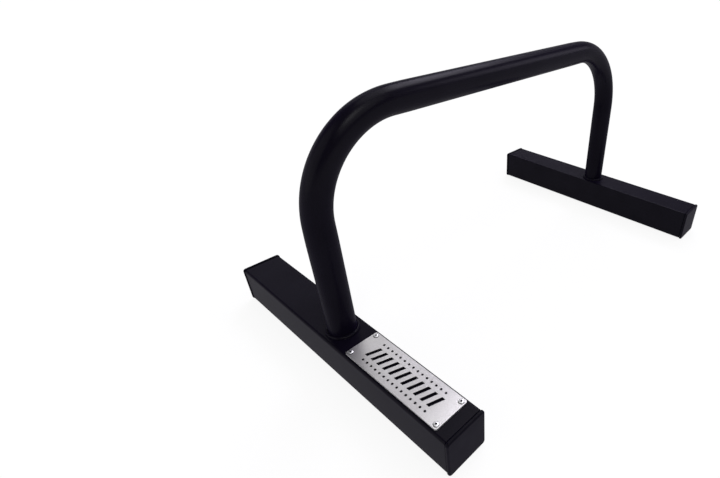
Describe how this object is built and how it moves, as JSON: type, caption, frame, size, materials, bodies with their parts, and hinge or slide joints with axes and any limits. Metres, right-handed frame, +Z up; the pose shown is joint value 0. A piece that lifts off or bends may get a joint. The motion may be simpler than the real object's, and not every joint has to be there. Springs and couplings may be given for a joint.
{
  "type": "parallette bar",
  "caption": "Low free-standing parallette: a bent round grip tube welded to square-tube feet with plastic end caps and a riveted, slotted steel plate.",
  "frame": {"origin": "on the floor, under the middle of the grip bar and midway along the feet", "axes": "+X along the grip bar, from the foot with the plate to the plain one; +Y along the feet, away from the plate's end; +Z up"},
  "size_m": [0.6386, 0.416, 0.321],
  "materials": {
    "powder_coat": "satin black powder coat on steel, fine orange peel",
    "cap_plastic": "black moulded polyethylene, lightly grained",
    "plate_steel": "brushed stainless sheet, laser cut",
    "rivet_aluminium": "bright aluminium, lightly dulled",
    "mandrel_steel": "dull broken steel"
  },
  "bodies": {
    "root": {"handle_tube": "powder_coat", "left_foot_tube": "powder_coat", "right_foot_tube": "powder_coat", "left_weld_bead": "powder_coat", "right_weld_bead": "powder_coat", "left_front_cap": "cap_plastic", "left_rear_cap": "cap_plastic", "right_front_cap": "cap_plastic", "right_rear_cap": "cap_plastic", "badge_plate": "plate_steel", "plate_rivet_1": "rivet_aluminium", "plate_rivet_2": "rivet_aluminium", "plate_rivet_3": "rivet_aluminium", "plate_rivet_4": "rivet_aluminium", "rivet_mandrel_1": "mandrel_steel", "rivet_mandrel_2": "mandrel_steel", "rivet_mandrel_3": "mandrel_steel", "rivet_mandrel_4": "mandrel_steel"}
  },
  "joints": []
}
